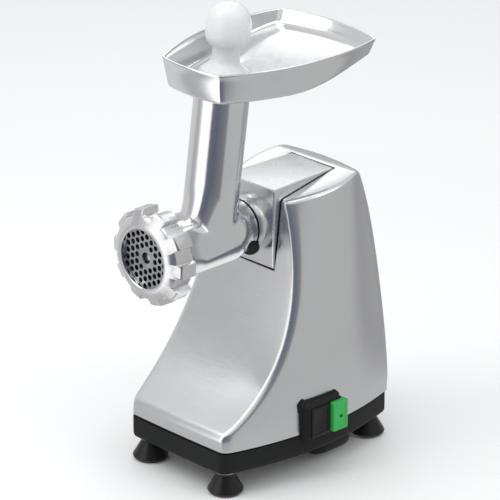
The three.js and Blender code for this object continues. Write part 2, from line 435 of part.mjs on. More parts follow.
/** Tray rim outline: four bowed sides that meet in tight corners. */
function trayOutline() {
  const { front, rear, frontHalf, rearHalf, frontBow, rearBow, sideBow: side } = TRAY;
  const knots = [[-frontHalf, front], [frontHalf, front], [rearHalf, rear], [-rearHalf, rear]];
  return [frontBow, side, rearBow, side].flatMap((bow, i) => {
    const [x0, y0] = knots[i], [x1, y1] = knots[(i + 1) % 4], dx = x1 - x0, dy = y1 - y0;
    const length = Math.hypot(dx, dy), trim = TRAY_CORNER / length;
    return Array.from({ length: TRAY_SIDE_STEPS + 1 }, (_, k) => {
      const t = trim + (1 - 2 * trim) * (1 - Math.cos(k / TRAY_SIDE_STEPS * Math.PI)) / 2, push = bow * 4 * t * (1 - t);
      return [x0 + dx * t + dy / length * push, y0 + dy * t - dx / length * push];
    });
  });
}
/** Rim points as a direction and a distance from the tube's axis. */
const outline = trayOutline().map(([x, y]) => {
  const dy = y - tubeCentre(TRAY_Z), r = Math.hypot(x, dy);
  return [x / r, dy / r, r];
});
/** Height of the pan's floor: deep over the tube, shallow at the rear. */
function trayFloor(y) {
  const t = Math.min(1, Math.max(0, (y + 125) / 110));
  return TRAY_Z - TRAY_DEPTH + TRAY_RISE * t * t * (3 - 2 * t);
}
/** Ring in the tube's leaning frame, at a height up the tube. */
const tubeRing = (r, h) => outline.map(([c, s]) => {
  const p = new THREE.Vector3(r * c, r * s, h).applyAxisAngle(new THREE.Vector3(1, 0, 0), -TUBE_LEAN * rad);
  return [p.x, p.y + TUBE_Y, p.z + AXIS_Z];
});
/** Ring inset from the rim, at a height over the floor there, pulled part of the way to the tube mouth. */
const panRing = (inset, rise, pull, mouth) => outline.map(([c, s, r]) => {
  const q = mouth + (r - inset - mouth) * (1 - pull), y = tubeCentre(TRAY_Z) + q * s;
  return [q * c, y, trayFloor(y) + rise];
});
/** The inner floor also climbs with the tube's leaning mouth at the front. */
const innerRing = (inset, rise, pull = 0) => panRing(inset, rise, pull, 24)
  .map(([x, y, z]) => [x, y, z + Math.max(0, -150 - y) * Math.tan(TUBE_LEAN * rad)]);
const underRing = (inset, rise, pull = 0) => panRing(inset, rise, pull, TUBE_R + 4);
const rimRing = (inset, z) => outline.map(([c, s, r]) => [(r - inset) * c, tubeCentre(TRAY_Z) + (r - inset) * s, z]);
piece('hopper_tray', skin([
  rimRing(0.4, TRAY_Z - 2.4), rimRing(0, TRAY_Z - 1), rimRing(0.8, TRAY_Z), rimRing(2.4, TRAY_Z), rimRing(3.2, TRAY_Z - 1.4),
  innerRing(8, 3.2), innerRing(11, 0.3), innerRing(14, 0, 0.3), innerRing(14, -0.2, 0.62), innerRing(14, -0.6, 0.84),
  tubeRing(24, TUBE_LEN + 3.4), tubeRing(19.6, TUBE_LEN - 1), tubeRing(19.6, TUBE_LEN - 18), tubeRing(21.3, TUBE_LEN - 18),
  tubeRing(21.3, TUBE_LEN + GAP), tubeRing(TUBE_R + 1, TUBE_LEN + GAP), underRing(10, -3.4, 0.84), underRing(10, -2.8, 0.62),
  underRing(10, -2.5, 0.3), underRing(8.6, -2.3), underRing(5.6, -0.4)], true), ALU);

piece('pusher', lean(turnZ([[0, PUSHER_END], [PUSHER_R - 2, PUSHER_END], [PUSHER_R, PUSHER_END + 3],
  [PUSHER_R, 149], [22.6, 153.2], [22.6, 156.5], [18.4, 161], [13.5, 166], [12.5, 171], [12.9, 177], [16.4, 181.6],
  [19.8, 187], [20.9, 195], [20.2, 203], [17.6, 211.6], [13, 217], [7.5, 220.2], [0, PUSHER_TOP]], 20)), WHITE);

export default group;
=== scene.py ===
"""Electric meat grinder, size 8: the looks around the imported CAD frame. Blender 4.5, metres."""
import math
import bpy
import bmesh
from mathutils import Matrix, Vector


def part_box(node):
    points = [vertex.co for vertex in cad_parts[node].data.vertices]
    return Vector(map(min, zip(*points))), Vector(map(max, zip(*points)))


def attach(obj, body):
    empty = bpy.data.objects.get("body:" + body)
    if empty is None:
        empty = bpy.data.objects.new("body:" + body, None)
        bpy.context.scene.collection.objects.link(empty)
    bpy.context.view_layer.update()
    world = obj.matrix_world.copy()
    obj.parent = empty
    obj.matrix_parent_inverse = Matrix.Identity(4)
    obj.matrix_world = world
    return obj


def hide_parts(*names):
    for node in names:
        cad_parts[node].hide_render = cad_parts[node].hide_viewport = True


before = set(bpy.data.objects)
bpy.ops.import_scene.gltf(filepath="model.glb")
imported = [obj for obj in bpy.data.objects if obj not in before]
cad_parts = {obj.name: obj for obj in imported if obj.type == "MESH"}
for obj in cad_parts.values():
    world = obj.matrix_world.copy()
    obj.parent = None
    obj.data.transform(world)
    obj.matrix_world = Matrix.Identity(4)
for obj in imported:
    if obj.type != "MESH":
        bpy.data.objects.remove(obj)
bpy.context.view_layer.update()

MM = 0.001
TAU = 2 * math.pi
scene = bpy.context.scene

# ---- driving dimensions, in millimetres in the machine's own axes (X centre plane, Y from the foot
NUT_FRONT = -252.8
AXIS_Z = 231.5
SHELL_Z0, SHELL_WALL, SHELL_EDGE = 45.8, 3.0, 4.0
SKIRT_Y, SWEEP_TOP_Y, SWEEP, SWEEP_Z, SWEEP_LEN = -212.0, -104.0, 107.0, 62.0, 66.0
BACK_Y, BACK_LEAN, BACK_Z = 8.0, 24.0, 264.0
HALF_W, WIDTH_TAPER, SIDE_BOW, SIDE_BOW_TOP = 82.5, 0.000533, 0.0016, 0.0054
ROOF_Z, ROOF_FRONT_Z, ROOF_SLOPE, ROOF_FRONT_Y = 270.5, 259.5, 0.148, -107.0
BASE_Z0, BASE_Z1, BASE_FRONT, BASE_REAR = 22.6, 45.4, -213.2, 5.5
BLOCK_FRONT, BLOCK_REAR, BLOCK_W0, BLOCK_W1, BLOCK_Z0 = -118.4, -36.75, 32.3, 27.65, 192.2
TUBE_LEAN, TUBE_Y, TUBE_R, TUBE_BORE, TUBE_LEN = math.radians(7.93), -171.7, 25.45, 21.6, 140.2
SWITCH_Y0, SWITCH_Y1, SWITCH_Z0, SWITCH_Z1, POCKET_X, BUTTON_SEAT = -134.5, -80.0, 36.0, 81.0, 82.5, 85.5
STOP_Y, START_Y, BUTTON_Z, STOP_X, START_X = (-126.5, -103.2), (-102.0, -83.5), (43.5, 72.5), 92.4, 96.2
BARREL_R, SPIGOT_R, SPIGOT_END = 29.3, 20.8, -88.0
NECK_END, COLLAR_Y, LOCK_R, GAP = -131.2, -128.9, 23.9, 0.3
MOUTH_Y, MOUTH_R = -247.7, 36.5
PLATE_R, PLATE_T, HOLE_PITCH, HOLE_R = 31.0, 7.6, 6.9, 2.55
HOLE_TURN, HOLE_FIELD_R, PLATE_PIN_R, PLATE_KEY_TURN = math.radians(26), 28.2, 5.4, math.radians(38)
FLIGHT_Y0, FLIGHT_Y1, FLIGHT_PITCH, AUGER_R = -228.8, -156.0, 26.0, 26.6
NUT_LOBES, NUT_LOBE_TURN, NUT_LOBE_HALF = 10, math.radians(32.6), 6.6
NUT_R, NUT_ROOT_R, NUT_REAR = 45.4, 40.6, -227.5
TRAY_Z, TRAY_DEPTH, TRAY_RISE = 401.3, 27.5, 15.0

BASE_LOW, BASE_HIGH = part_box("base")
NUT_LOW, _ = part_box("ring_nut")
CENTRE_X = (BASE_LOW[0] + BASE_HIGH[0]) / 2
ORIGIN = Vector((CENTRE_X, NUT_LOW[1] - NUT_FRONT * MM, 0))


def at(x, y, z):
    """A point of the machine's own axes, in millimetres, as a scene position."""
    return ORIGIN + Vector((x, y, z)) * MM


# ---- mesh helpers --------------------------------------------------------------------------------
def make(name, points, faces):
    """Mesh object from millimetre points, normals out."""
    mesh = bpy.data.meshes.new(name)
    mesh.from_pydata([at(*p) for p in points], [], faces)
    bm = bmesh.new()
    bm.from_mesh(mesh)
    bmesh.ops.remove_doubles(bm, verts=bm.verts, dist=1e-7)
    bmesh.ops.recalc_face_normals(bm, faces=bm.faces)
    bm.to_mesh(mesh)
    bm.free()
    obj = bpy.data.objects.new(name, mesh)
    scene.collection.objects.link(obj)
    return obj


def skin(name, rings, loop=False, cap="strip"):
    """Quads over rings of equally many points. A loop joins last to first, otherwise ends are capped."""
    n, m = len(rings[0]), len(rings)
    points = [p for ring in rings for p in ring]
    faces = []
    for i in range(m if loop else m - 1):
        for j in range(n):
            k, p, q = (j + 1) % n, i * n, ((i + 1) % m) * n
            faces.append((p + j, p + k, q + k, q + j))
    if not loop:
        for o in (0, (m - 1) * n):
            if cap == "strip":
                faces += [(o + j, o + j + 1, o + n - 2 - j, o + n - 1 - j) for j in range(n // 2 - 1)]
            else:
                faces.append(tuple(o + j for j in range(n)))
    return make(name, points, faces)


def circle(r, n, place):
    return [place(r * math.cos(i / n * TAU), r * math.sin(i / n * TAU)) for i in range(n)]


def turned(name, profile, place, segments=96):
    """Solid of revolution. Profile is (radius, height); place maps (u, v, height) to machine axes."""
    closed = profile[0][0] > 0
    rings = [circle(max(r, 0.002), segments, lambda u, v, h=h: place(u, v, h)) for r, h in profile]
    return skin(name, rings, loop=closed, cap="ngon")


def along_y(u, v, h):
    return (u, h, AXIS_Z + v)


def up_tube(u, v, h):
    c, s = math.cos(TUBE_LEAN), math.sin(TUBE_LEAN)
    return (u, TUBE_Y + v * c + h * s, AXIS_Z - v * s + h * c)


def up_at(x, y):
    return lambda u, v, h: (x + u, y + v, h)


def arc(cx, cy, r, a0, a1, n):
    """Points of an arc in profile space, angles in degrees."""
    return [(cx + r * math.cos(math.radians(a0 + (a1 - a0) * i / n)),
             cy + r * math.sin(math.radians(a0 + (a1 - a0) * i / n))) for i in range(n + 1)]


def smooth_profile(points, steps=4):
    """Catmull-Rom curve through profile points."""
    out = []
    for i in range(len(points) - 1):
        p0, p1, p2, p3 = (points[max(i - 1, 0)], points[i], points[i + 1],
                          points[min(i + 2, len(points) - 1)])
        for s in range(steps):
            t = s / steps
            out.append(tuple(0.5 * (2 * b + (c - a) * t + (2 * a - 5 * b + 4 * c - d) * t * t
                                    + (3 * b - a - 3 * c + d) * t ** 3) for a, b, c,
                             d in zip(p0, p1, p2, p3)))
    return out + [points[-1]]


def prism(name, outline, place, depth0, depth1):
    """Outline extruded between two depths."""
    return skin(name, [[place(u, v, d) for u, v in outline] for d in (depth0, depth1)], cap="ngon")


def box(name, x0, x1, y0, y1, z0, z1):
    return skin(name, [[(x0, y0, z), (x1, y0, z), (x1, y1, z), (x0, y1, z)] for z in (z0, z1)], cap="ngon")


def apply_all(obj):
    """Bakes the modifier stack into the mesh."""
    deps = bpy.context.evaluated_depsgraph_get()
    mesh = bpy.data.meshes.new_from_object(obj.evaluated_get(deps))
    obj.modifiers.clear()
    old = obj.data
    obj.data = mesh
    bpy.data.meshes.remove(old)
    return obj


def combine(obj, others, operation):
    """Exact boolean with each other object, which is then removed."""
    for other in others:
        mod = obj.modifiers.new("cut", "BOOLEAN")
        mod.operation, mod.solver, mod.object = operation, "EXACT", other
        apply_all(obj)
        bpy.data.objects.remove(other)
    return obj


def bevel(obj, width, segments=3, angle=35, profile=0.6):
    mod = obj.modifiers.new("bevel", "BEVEL")
    mod.width, mod.segments, mod.limit_method = width * MM, segments, "ANGLE"
    mod.angle_limit, mod.profile = math.radians(angle), profile
    mod.use_clamp_overlap = True
    mod.miter_outer = "MITER_ARC"
    return apply_all(obj)


def finish_piece(obj, body, material, nodes=(), sharp=32):
    obj.data.materials.clear()
    obj.data.materials.append(material)
    for f in obj.data.polygons:
        f.use_smooth = True
        f.material_index = 0
    obj.data.set_sharp_from_angle(angle=math.radians(sharp))
    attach(obj, body)
    if nodes:
        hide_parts(*nodes)
    return obj


# ---- materials -----------------------------------------------------------------------------------
def material(name, color, metallic, roughness, **sockets):
    """Node material with a Principled shader; returns the material and the shader."""
    mat = bpy.data.materials.new(name)
    mat.use_nodes = True
    shader = mat.node_tree.nodes["Principled BSDF"]
    shader.inputs["Base Color"].default_value = (*color, 1)
    shader.inputs["Metallic"].default_value = metallic
    shader.inputs["Roughness"].default_value = roughness
    for key, value in sockets.items():
        shader.inputs[key.replace("_", " ")].default_value = value
    return mat, shader


def noise(mat, scale, detail=4, stretch=(1, 1, 1), rough=0.55):
    """Noise in object space, stretched along an axis for brushed grain."""
    nodes, links = mat.node_tree.nodes, mat.node_tree.links
    coord, mapping, tex = (nodes.new(t) for t in ("ShaderNodeTexCoord", "ShaderNodeMapping",
                                                  "ShaderNodeTexNoise"))
    mapping.inputs["Scale"].default_value = stretch
    tex.inputs["Scale"].default_value = scale
    tex.inputs["Detail"].default_value = detail
    tex.inputs["Roughness"].default_value = rough
    links.new(coord.outputs["Object"], mapping.inputs["Vector"])
    links.new(mapping.outputs["Vector"], tex.inputs["Vector"])
    return tex.outputs["Fac"]


def ramp(mat, source, low, high, to0, to1):
    """Maps a noise value onto a range."""
    node = mat.node_tree.nodes.new("ShaderNodeMapRange")
    node.inputs["From Min"].default_value, node.inputs["From Max"].default_value = low, high
    node.inputs["To Min"].default_value, node.inputs["To Max"].default_value = to0, to1
    mat.node_tree.links.new(source, node.inputs["Value"])
    return node.outputs["Result"]


def tint(mat, source, dark, light):
    """Blends two colours by a noise value."""
    node = mat.node_tree.nodes.new("ShaderNodeMix")
    node.data_type = "RGBA"
    node.inputs["A"].default_value, node.inputs["B"].default_value = (*dark, 1), (*light, 1)
    mat.node_tree.links.new(source, node.inputs["Factor"])
    return node.outputs["Result"]


def bump(mat, source, strength, distance):
    node = mat.node_tree.nodes.new("ShaderNodeBump")
    node.inputs["Strength"].default_value = strength
    node.inputs["Distance"].default_value = distance
    mat.node_tree.links.new(source, node.inputs["Height"])
    return node.outputs["Normal"]


def textured(name, dark, light, metallic, rough_low, rough_high, scale, stretch=(1, 1, 1), relief=0.1,
             depth=0.0001,
             blotch=9, **sockets):
    """Material with colour drift, roughness drift and a fine relief."""
    mat, shader = material(name, light, metallic, (rough_low + rough_high) / 2, **sockets)
    links = mat.node_tree.links
    drift = noise(mat, blotch, 3)
    grain = noise(mat, scale, 5, stretch)
    links.new(tint(mat, ramp(mat, drift, 0.3, 0.7, 0, 1), dark, light), shader.inputs["Base Color"])
    links.new(ramp(mat, grain, 0.3, 0.7, rough_low, rough_high), shader.inputs["Roughness"])
    links.new(bump(mat, grain, relief, depth), shader.inputs["Normal"])
    return mat


POLISHED = textured("polished_aluminium", (0.74, 0.745, 0.755), (0.84, 0.845, 0.85), 1, 0.10, 0.17, 160,
                    relief=0.05, depth=0.0002)
SATIN = textured("satin_aluminium", (0.72, 0.72, 0.725), (0.80, 0.80, 0.805), 1, 0.20, 0.30, 220,
                 relief=0.08)
BRUSHED = textured("brushed_aluminium", (0.73, 0.735, 0.74), (0.79, 0.795, 0.80), 1, 0.19, 0.27, 60,
                   stretch=(1, 14, 14), relief=0.05, depth=0.0001, blotch=5)
CAST = textured("cast_aluminium", (0.70, 0.705, 0.71), (0.80, 0.80, 0.805), 1, 0.22, 0.30, 90, relief=0.02,
                blotch=12)
STEEL = textured("ground_steel", (0.36, 0.37, 0.38), (0.50, 0.505, 0.51), 1, 0.24, 0.38, 260, relief=0.14,
                 blotch=60)
LAMINATION = textured("lamination_steel", (0.20, 0.21, 0.23), (0.33, 0.34, 0.36), 1, 0.3, 0.5, 90,
                      (1, 40, 1), 0.3)
BLACK = textured("black_plastic", (0.0075, 0.008, 0.008), (0.013, 0.0135, 0.0135), 0, 0.42, 0.58, 900,
                 relief=0.2,
                 Specular_IOR_Level=0.22)
GLOSS = textured("black_gloss_plastic", (0.006, 0.006, 0.007), (0.012, 0.012, 0.013), 0, 0.25, 0.36, 700,
                 relief=0.08,
                 Specular_IOR_Level=0.28)
RUBBER = textured("black_rubber", (0.006, 0.0062, 0.0068), (0.012, 0.0122, 0.013), 0, 0.26, 0.40, 600,
                  relief=0.12,
                  Specular_IOR_Level=0.35)
GREEN = textured("green_plastic", (0.035, 0.40, 0.085), (0.05, 0.47, 0.11), 0, 0.28, 0.38, 500, relief=0.05,
                 Specular_IOR_Level=0.3)
WHITE = textured("white_plastic", (0.74, 0.75, 0.755), (0.79, 0.795, 0.80), 0, 0.24, 0.32, 300,
                 relief=0.008,
                 Subsurface_Weight=0.12, Subsurface_Radius=(1, 0.95, 0.9), Subsurface_Scale=0.008)
BRONZE = textured("sintered_bronze", (0.42, 0.29, 0.12), (0.58, 0.42, 0.2), 1, 0.3, 0.45, 500, relief=0.2)
COPPER = textured("copper_winding", (0.45, 0.18, 0.07), (0.65, 0.33, 0.16), 1, 0.25, 0.45, 260, (1, 12, 1),
                  0.5)
NYLON = textured("nylon", (0.74, 0.71, 0.62), (0.84, 0.82, 0.75), 0, 0.35, 0.5, 300, relief=0.1)


# ---- casing and base: sections at any height -----------------------------------------------------
def soft_max(a, b, k):
    return 0.5 * (a + b + math.sqrt((a - b) ** 2 + k * k))


def side_bow(z):
    return SIDE_BOW + SIDE_BOW_TOP * max(0, (z - 60) / 210) ** 1.3


def half_width(y, z):
    centre = -103 + 51 * max(0, z - 45) / 225
    return HALF_W - WIDTH_TAPER * (z - 45) ** 2 - side_bow(z) * (y - centre) ** 2


def front_y(z):
    return soft_max(SKIRT_Y, SWEEP_TOP_Y - SWEEP * math.exp(-(z - SWEEP_Z) / SWEEP_LEN), 3)


def back_y(z):
    return BACK_Y - BACK_LEAN * max(0, (z - 46) / (BACK_Z - 46)) ** 3


def roof_z(y):
    return min(ROOF_Z, ROOF_FRONT_Z + ROOF_SLOPE * (y - ROOF_FRONT_Y))


def plan_ring(y0, y1, half, level, r_front, r_rear, crown=4, fine=3):
    """Plan outline with bowed sides, rounded corners and slightly crowned ends."""
    right = []
    w0, w1 = half(y0 + r_front) - r_front, half(y1 - r_rear) - r_rear
    ends, corner, side = 3 * fine, 4 * fine, 9 * fine
    right += [(w0 * max(i / ends, 0.004), y0 - 0.8 * (1 - (i / ends) ** 2)) for i in range(ends)]
    for i in range(corner + 1):
        a = i / corner * math.pi / 2
        y = y0 + r_front * (1 - math.cos(a))
        blend = (1 - i / corner) * (half(y) - half(y0 + r_front))
        right.append((half(y) - r_front * (1 - math.sin(a)) - blend, y))
    right += [(half(y), y) for y in (y0 + r_front + (y1 - r_rear - y0 - r_front) * i / side
                                     for i in range(1, side))]
    for i in range(corner + 1):
        a = (1 - i / corner) * math.pi / 2
        right.append((w1 + r_rear * math.sin(a), y1 - crown - (r_rear - crown) * (1 - math.cos(a))
                      if i else y1 - r_rear))
    right += [(w1 * max(i / ends, 0.004), y1 - crown * (i / ends) ** 2) for i in range(ends - 1, -1, -1)]
    ring = [(x, y, level(y)) for x, y in right]
    return ring + [(-x, y, level(y)) for x, y in reversed(right)]


def shell_ring(t, inset, drop):
    def level(y):
        return SHELL_Z0 + t * (roof_z(y) - drop - SHELL_Z0)
    y0, y1 = front_y(level(ROOF_FRONT_Y)) + inset, back_y(level(0)) - inset
    return plan_ring(y0, y1, lambda y: half_width(y, level(y)) - inset, level, max(2, 9 - inset),
                     max(3, 14 - inset))


def shell(inset, steps):
    """Rings of the casing from its lower edge to its rounded roof edge."""
    edge = max(1, SHELL_EDGE - inset)
    top = 1 - edge / (ROOF_Z - SHELL_Z0)
    rings = [shell_ring(top * (i / steps) ** 1.15, inset, inset) for i in range(steps + 1)]
    for i in range(1, 7):
        a = i / 6 * math.pi / 2
        t = top + (1 - top) * math.sin(a)
        rings.append(shell_ring(t, inset + edge * (1 - math.cos(a)), inset))
    return rings


def block_box(name, grow, front, z0, z1):
    taper = (BLOCK_W0 - BLOCK_W1) / (BLOCK_REAR - BLOCK_FRONT)
    w0, w1 = BLOCK_W0 + grow + taper * (BLOCK_FRONT - front), BLOCK_W1 + grow
    return skin(name, [[(-w0, front, z), (w0, front, z), (w1, BLOCK_REAR + grow, z),
                        (-w1, BLOCK_REAR + grow, z)]
                       for z in (z0, z1)], cap="ngon")


def build_casing():
    casing = skin("casing_shell", shell(0, 56))
    inside = shell(SHELL_WALL, 24)
    inside = [[(x, y, SHELL_Z0 - 5) for x, y, z in inside[0]]] + inside
    combine(casing, [skin("inside", inside), block_box("opening", 1.3, BLOCK_FRONT - 40, BLOCK_Z0 - 0.5,
                                                       ROOF_Z + 20),
                     box("switch_hole", 60, 100, -124, -90, 50, 66)], "DIFFERENCE")
    bevel(casing, 0.9, 3, 40)
    finish_piece(casing, "housing", BRUSHED, ["casing"], 30)


def build_block():
    block = block_box("coupling_housing", 0, BLOCK_FRONT, BLOCK_Z0, ROOF_Z)
    bevel(block, 2.4, 5, 40)
    collar = turned("collar", [(0, BLOCK_FRONT + 8), (27.5, BLOCK_FRONT + 8), (27.5, -123.6),
                               (27.1, -125.2),
                               (25.2, COLLAR_Y + 0.5), (24.6, COLLAR_Y), (0, COLLAR_Y)], along_y)
    combine(block, [collar], "UNION")
    combine(block, [turned("socket", [(0, -140), (SPIGOT_R + 0.4, -140), (SPIGOT_R + 0.4, SPIGOT_END + 1.5),
                                      (15, SPIGOT_END + 1.5), (15, -58), (14.3, -58), (14.3, -20),
                                      (0, -20)], along_y)],
            "DIFFERENCE")
    finish_piece(block, "housing", CAST, ["coupling_block"], 30)


def build_base():
    def ring(inset, z):
        return plan_ring(BASE_FRONT + inset, BASE_REAR - inset,
                         lambda y: HALF_W - 1 - SIDE_BOW * (y + 103) ** 2 - inset, lambda y: z,
                         max(3, 9 - inset), max(4, 13 - inset))
    rings = [ring(4, BASE_Z0)] + [ring(4 * (1 - math.sin(a)), BASE_Z0 + 5 * (1 - math.cos(a)))
                                  for a in (math.radians(15 * i) for i in range(1, 7))]
    rings += [ring(0, BASE_Z0 + 6), ring(0, BASE_Z1 - 2.2), ring(0.1, BASE_Z1 - 1.6),
              ring(1.6, BASE_Z1 - 1.5),
              ring(1.6, BASE_Z1), ring(3, BASE_Z1), ring(3, BASE_Z0 + 3)]
    base = skin("base_tray", rings)
    finish_piece(base, "housing", BLACK, ["base"], 35)


def build_feet():
    for side in ("left", "right"):
        for end in ("front", "rear"):
            name = f"{end}_{side}"
            low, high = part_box(f"foot_{name}")
            x, y = ((low[0] + high[0]) / 2 - ORIGIN.x) / MM, ((low[1] + high[1]) / 2 - ORIGIN.y) / MM
            rim = arc(15.4, 3.4, 1.5, -75, 28, 5)
            foot = [(3.1, 11.4), (6.3, 11.4), (6.3, 6.5), (9.5, 3.2), (12.2, 0), (14.6, 0), (15.4, 0.8),
                    *rim[1:],
                    (9.6, 16.4), (9.0, 18.2), (8.8, 20), (3.1, 20)]
            finish_piece(turned(f"suction_foot_{name}", foot, up_at(x, y), 64), "housing",
                         RUBBER,
                         [f"foot_{name}"], 35)
            washer = [(3.1, 20.2), (9.4, 20.2), (9.8, 20.6), (9.8, 21.9), (9.4, 22.3), (3.1, 22.3)]
            finish_piece(turned(f"washer_{name}", washer, up_at(x, y), 48), "housing", STEEL,
                         [f"foot_washer_{name}"], 30)


def rounded_box(name, low, high, radius, segments=4):
    piece = box(name, low[0], high[0], low[1], high[1], low[2], high[2])
    return bevel(piece, radius, segments, 30)


def chamfered(y0, y1, z0, z1, cut):
    """Rectangle with cut corners, as (y, z)."""
    return [(y0 + cut, z0), (y1 - cut, z0), (y1, z0 + cut), (y1, z1 - cut), (y1 - cut, z1), (y0 + cut, z1),
            (y0, z1 - cut), (y0, z0 + cut)]


def rounded_plan(x0, x1, y0, y1, inset, corner, steps=8):
    """Rounded rectangle in plan, counter-clockwise."""
    r = max(corner - inset, 2)
    out = []
    for cx, cy, a in ((x1, y0, -90), (x1, y1, 0), (x0, y1, 90), (x0, y0, 180)):
        mx, my = (cx - inset - r if cx == x1 else cx + inset + r), (cy - inset - r
                                                                    if cy == y1 else cy + inset + r)
        out += arc(mx, my, r, a, a + 90, steps)
    return out


def build_terminal_box():
    top = BASE_Z0 - GAP
    levels = [(0, top), (0, 17), (0.6, 14), (1.8, 11.4), (3.6, 9.2), (6.0, 7.4), (9.0, 6.3), (12.0, 6)]
    cover = skin("terminal_box", [[(x, y, z) for x, y in rounded_plan(21, 73, -102, -48, inset, 15)]
                                  for inset, z in levels], cap="ngon")
    finish_piece(cover, "housing", BLACK, ["terminal_cover"], 35)


def build_switch():
    steps = ((73, 0, 5), (79.4, 0, 5), (80.4, 1.0, 4.6), (80.4, 2.6, 4.2), (83.6, 3.0, 4.0),
             (83.6, 4.2, 3.6), (90.2, 6.0, 3.0),
             (91.0, 6.8, 2.8))
    flange = skin("switch_flange", [[(x, y, z) for y,
                                     z in chamfered(SWITCH_Y0 + i, SWITCH_Y1 - i, SWITCH_Z0 + i,
                                                    SWITCH_Z1 - i, cut)]
                                    for x, i, cut in steps], cap="ngon")
    bevel(flange, 0.5, 2, 40)
    combine(flange, [box("plug", 66, 84, -123.5, -90.5, 50.5, 65.5)], "UNION")
    pockets = [box("pocket", POCKET_X, 120, y0 - 0.4, y1 + 0.4, BUTTON_Z[0] - 0.4, BUTTON_Z[1] + 0.4)
               for y0, y1 in (STOP_Y, START_Y)]
    skirt = skin("wall", [shell_ring(t, -GAP, 0) for t in (0, 0.05, 0.1, 0.15, 0.2)])
    tub = skin("tub", [plan_ring(BASE_FRONT - GAP, BASE_REAR + GAP,
                                 lambda y: HALF_W - 0.7 - SIDE_BOW * (y + 103) ** 2,
                                 lambda y: z, 9, 13) for z in (17, 46.2)])
    combine(flange, [*pockets, skirt, tub], "DIFFERENCE")
    finish_piece(flange, "housing", BLACK, ["switch_housing"], 35)
    stop = rounded_box("stop_push", (BUTTON_SEAT, STOP_Y[0], BUTTON_Z[0]), (STOP_X, STOP_Y[1], BUTTON_Z[1]),
                       1.2)
    combine(stop, [rounded_box("dish", (STOP_X - 0.6, -123.6, 46.4), (99, -106.1, 69.6), 0.5, 2)],
            "DIFFERENCE")
    finish_piece(stop, "stop_switch", GLOSS, ["stop_button"], 35)
    start = rounded_box("start_push", (BUTTON_SEAT, START_Y[0], BUTTON_Z[0]),
                        (START_X, START_Y[1], BUTTON_Z[1]), 1.8)
    dot = turned("dot", [(0, 90), (1.9, 90), (1.9, 99), (0, 99)], lambda u, v, h: (h, -92.4 + u, 57.5 + v),
                 24)
    combine(start, [rounded_box("dish", (START_X - 0.4, -99, 46.5), (99, -86.5, 69.5), 0.3, 2), dot],
            "DIFFERENCE")
    finish_piece(start, "start_switch", GREEN, ["start_button"], 35)


# ---- grinding head -------------------------------------------------------------------------------
FLARE, FLARE_LEAST = 7.0, 1.5


def tube_with_fillet():
    """Feed tube with a crisp joint to the barrel in front, flared to the right, a fillet elsewhere."""
    n = 96
    columns = []
    for i in range(n):
        a = i / n * TAU
        u, v = math.cos(a), math.sin(a)
        side = math.degrees(math.atan2(u, -v))
        smooth = min(1, max(0, (abs(side - 10) - 52) / 40))
        flare = FLARE_LEAST + FLARE * math.exp(-((side - 35) / 42) ** 2)
        rise = 12 + 20 * math.exp(-((side - 35) / 50) ** 2)

        def on_tube(h, r=TUBE_R):
            return Vector(up_tube(r * u, r * v, h))

        def barrel_height(x):
            return math.sqrt(max(BARREL_R ** 2 - x * x, 0.01))

        # height at which this line of the tube meets the barrel
        h_meet = (barrel_height(TUBE_R * u) + TUBE_R * v * math.sin(TUBE_LEAN)) / math.cos(TUBE_LEAN)
        corner = on_tube(h_meet)
        top = on_tube(h_meet + rise)
        bend = min(abs((TUBE_R + flare) * u), BARREL_R - 0.4) * (1 if u >= 0 else -1)
        foot = Vector((bend, corner.y + flare * v, AXIS_Z + barrel_height(bend) - 0.25))
        control = on_tube(h_meet + 0.45 * rise * (1 - smooth))
        column = [Vector((foot.x * 0.85, foot.y, AXIS_Z + 1))]
        for k in range(13):
            t = k / 12
            column.append(foot * (1 - t) ** 2 + control * 2 * t * (1 - t) + top * t * t)
        start = h_meet + rise
        for k in range(1, 9):
            column.append(on_tube(start + (TUBE_LEN - 1.2 - start) * k / 8))
        column.append(on_tube(TUBE_LEN - 0.35, TUBE_R - 0.35))
        column.append(on_tube(TUBE_LEN, TUBE_R - 1.2))
        columns.append(column)
    return skin("tube", [[tuple(columns[j][i]) for j in range(n)] for i in range(len(columns[0]))],
                cap="ngon")


def build_head():
    neck = smooth_profile([(BARREL_R, FLIGHT_Y1), (28.7, -151), (27.6, -146), (26.2, -141.5),
                           (24.9, -137.5), (24.2, -133.4), (24, NECK_END + 0.5)], 5)
    outer = [(0, MOUTH_Y), (MOUTH_R - 0.6, MOUTH_Y), (MOUTH_R, MOUTH_Y + 0.6), (MOUTH_R, -226),
             *smooth_profile([(34.6, -223.4), (32.4, -217), (30.5, -209), (29.5, -202), (BARREL_R, -196)],
                             4), *neck,
             (23.5, NECK_END), (SPIGOT_R, NECK_END), (SPIGOT_R, SPIGOT_END + 1), (SPIGOT_R - 1, SPIGOT_END),
             (0, SPIGOT_END)]
    head = turned("head_casting", outer, along_y, 128)
    combine(head, [tube_with_fillet()], "UNION")
    bore = [(0, MOUTH_Y - 10), (PLATE_R + 0.3, MOUTH_Y - 10), (PLATE_R + 0.3, -239), (28.2, -239),
            (28.2, -228),
            (27.2, -227), (27.2, FLIGHT_Y1), (15, -142), (10.3, -140), (10.3, -80), (0, -80)]
    throat = [(0, 12), (TUBE_BORE, 12), (TUBE_BORE, TUBE_LEN - 1), (TUBE_BORE + 1.4, TUBE_LEN + 0.4),
              (TUBE_BORE + 1.4, TUBE_LEN + 10), (0, TUBE_LEN + 10)]
    combine(head, [turned("bore", bore, along_y, 96), turned("throat", throat, up_tube, 96)], "DIFFERENCE")
    finish_piece(head, "head", POLISHED, ["head_body"], 38)


